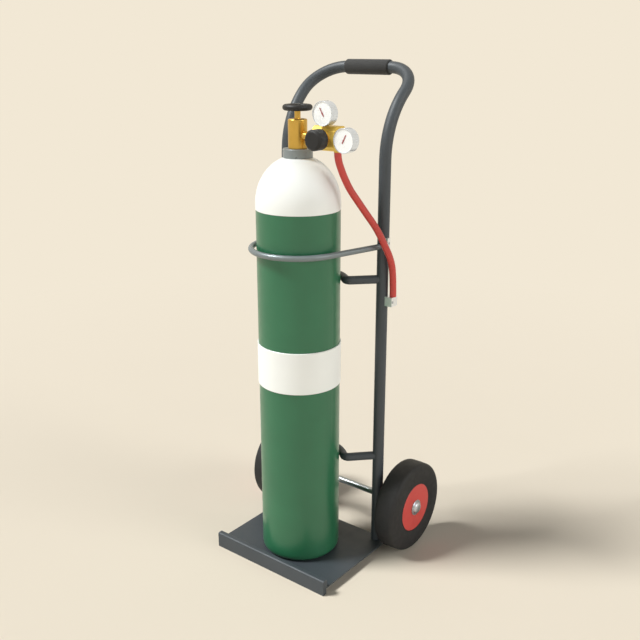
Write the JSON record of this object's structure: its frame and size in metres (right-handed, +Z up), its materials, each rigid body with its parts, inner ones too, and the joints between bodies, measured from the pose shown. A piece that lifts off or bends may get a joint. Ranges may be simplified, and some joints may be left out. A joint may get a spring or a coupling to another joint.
{
  "type": "gas cylinder trolley",
  "caption": "Two-wheeled trolley with a tilted-back tube handle, a toe plate and cradle bars, carrying a tall gas cylinder with its valve, regulator, gauges and hose.",
  "frame": {"origin": "on the floor, at the centre of the footprint without the hose", "axes": "+X is to the right seen from the front, +Y points to the back, where the wheels and the handle are, and +Z is up"},
  "size_m": [0.5676, 0.5056, 1.4315],
  "materials": {
    "slate_paint": "smooth slate-grey powder coat",
    "hoop_steel": "mid-grey coated steel rod",
    "pale_metal": "satin cast aluminium",
    "bright_steel": "bright zinc-plated steel",
    "black_foam": "matte black foam",
    "tyre_rubber": "matte dark-grey rubber",
    "red_plastic": "semi-gloss red plastic",
    "pale_plastic": "natural plastic",
    "green_paint": "satin green enamel",
    "white_paint": "satin white enamel",
    "brass": "machined brass",
    "black_plastic": "moulded black plastic",
    "red_rubber": "smooth red rubber hose",
    "gauge_chrome": "polished plated steel",
    "white_dial": "plain white enamel",
    "clear_lens": "clear flat lens",
    "red_needle": "red enamel"
  },
  "bodies": {
    "trolley": {"frame_tube": "slate_paint", "toe_plate": "slate_paint", "plate_ribs": "slate_paint", "cradle_upper": "slate_paint", "cradle_lower": "slate_paint", "axle_bracket_left": "slate_paint", "axle_bracket_right": "slate_paint", "axle": "bright_steel", "axle_spacers": "bright_steel", "axle_caps": "bright_steel", "handle_grip": "black_foam", "front_hoop": "hoop_steel", "hoop_clamp_left": "pale_metal", "hoop_clamp_right": "pale_metal", "clamp_screws": "bright_steel", "hose_holster": "pale_metal", "holster_screw": "bright_steel"},
    "wheel_left": {"tyre_left": "tyre_rubber", "rim_left": "red_plastic", "bush_left": "pale_plastic"},
    "wheel_right": {"tyre_right": "tyre_rubber", "rim_right": "red_plastic", "bush_right": "pale_plastic"},
    "cylinder": {"cylinder_shell": "green_paint", "cylinder_shoulder": "white_paint", "colour_band": "white_paint", "neck_ring": "bright_steel", "valve_body": "brass", "gland_ring": "brass", "inlet_nut": "brass", "regulator_body": "brass", "bonnet": "brass", "outlet_nut": "brass", "hose": "red_rubber", "hose_spigot": "bright_steel", "top_gauge_case": "gauge_chrome", "top_gauge_bezel": "gauge_chrome", "top_gauge_dial": "white_dial", "top_gauge_lens": "clear_lens", "top_gauge_stem": "brass", "side_gauge_case": "gauge_chrome", "side_gauge_bezel": "gauge_chrome", "side_gauge_dial": "white_dial", "side_gauge_lens": "clear_lens", "side_gauge_stem": "brass"},
    "handwheel": {"valve_spindle": "brass", "handwheel": "black_plastic", "handwheel_nut": "bright_steel"},
    "knob": {"adjusting_screw": "bright_steel", "regulator_knob": "black_plastic"},
    "top_needle": {"top_gauge_needle": "red_needle"},
    "side_needle": {"side_gauge_needle": "red_needle"}
  },
  "joints": [
    {"name": "wheel_left_spin", "type": "hinge", "parent": "trolley", "child": "wheel_left", "pos_m": [-0.23925, 0.11675, 0.136], "axis": [1, 0, 0], "continuous": true},
    {"name": "wheel_right_spin", "type": "hinge", "parent": "trolley", "child": "wheel_right", "pos_m": [0.23925, 0.11675, 0.136], "axis": [1, 0, 0], "continuous": true},
    {"name": "cylinder_lift", "type": "slide", "parent": "trolley", "child": "cylinder", "axis": [0, 0, 1], "range_m": [0, 0.94]},
    {"name": "handwheel_turn", "type": "hinge", "parent": "cylinder", "child": "handwheel", "pos_m": [0, -0.10175, 1.31556], "axis": [0, 0, 1], "range_deg": [0, 720]},
    {"name": "knob_turn", "type": "hinge", "parent": "cylinder", "child": "knob", "pos_m": [0.109, -0.16025, 1.24356], "axis": [0, -1, 0], "range_deg": [0, 1080]},
    {"name": "top_needle_swing", "type": "hinge", "parent": "cylinder", "child": "top_needle", "pos_m": [0.109, -0.13875, 1.30606], "axis": [0, 1, 0], "range_deg": [-105, 165], "stiffness_Nm_per_rad": 0.001},
    {"name": "side_needle_swing", "type": "hinge", "parent": "cylinder", "child": "side_needle", "pos_m": [0.175, -0.13875, 1.24356], "axis": [0, 1, 0], "range_deg": [-162, 108], "stiffness_Nm_per_rad": 0.001}
  ]
}
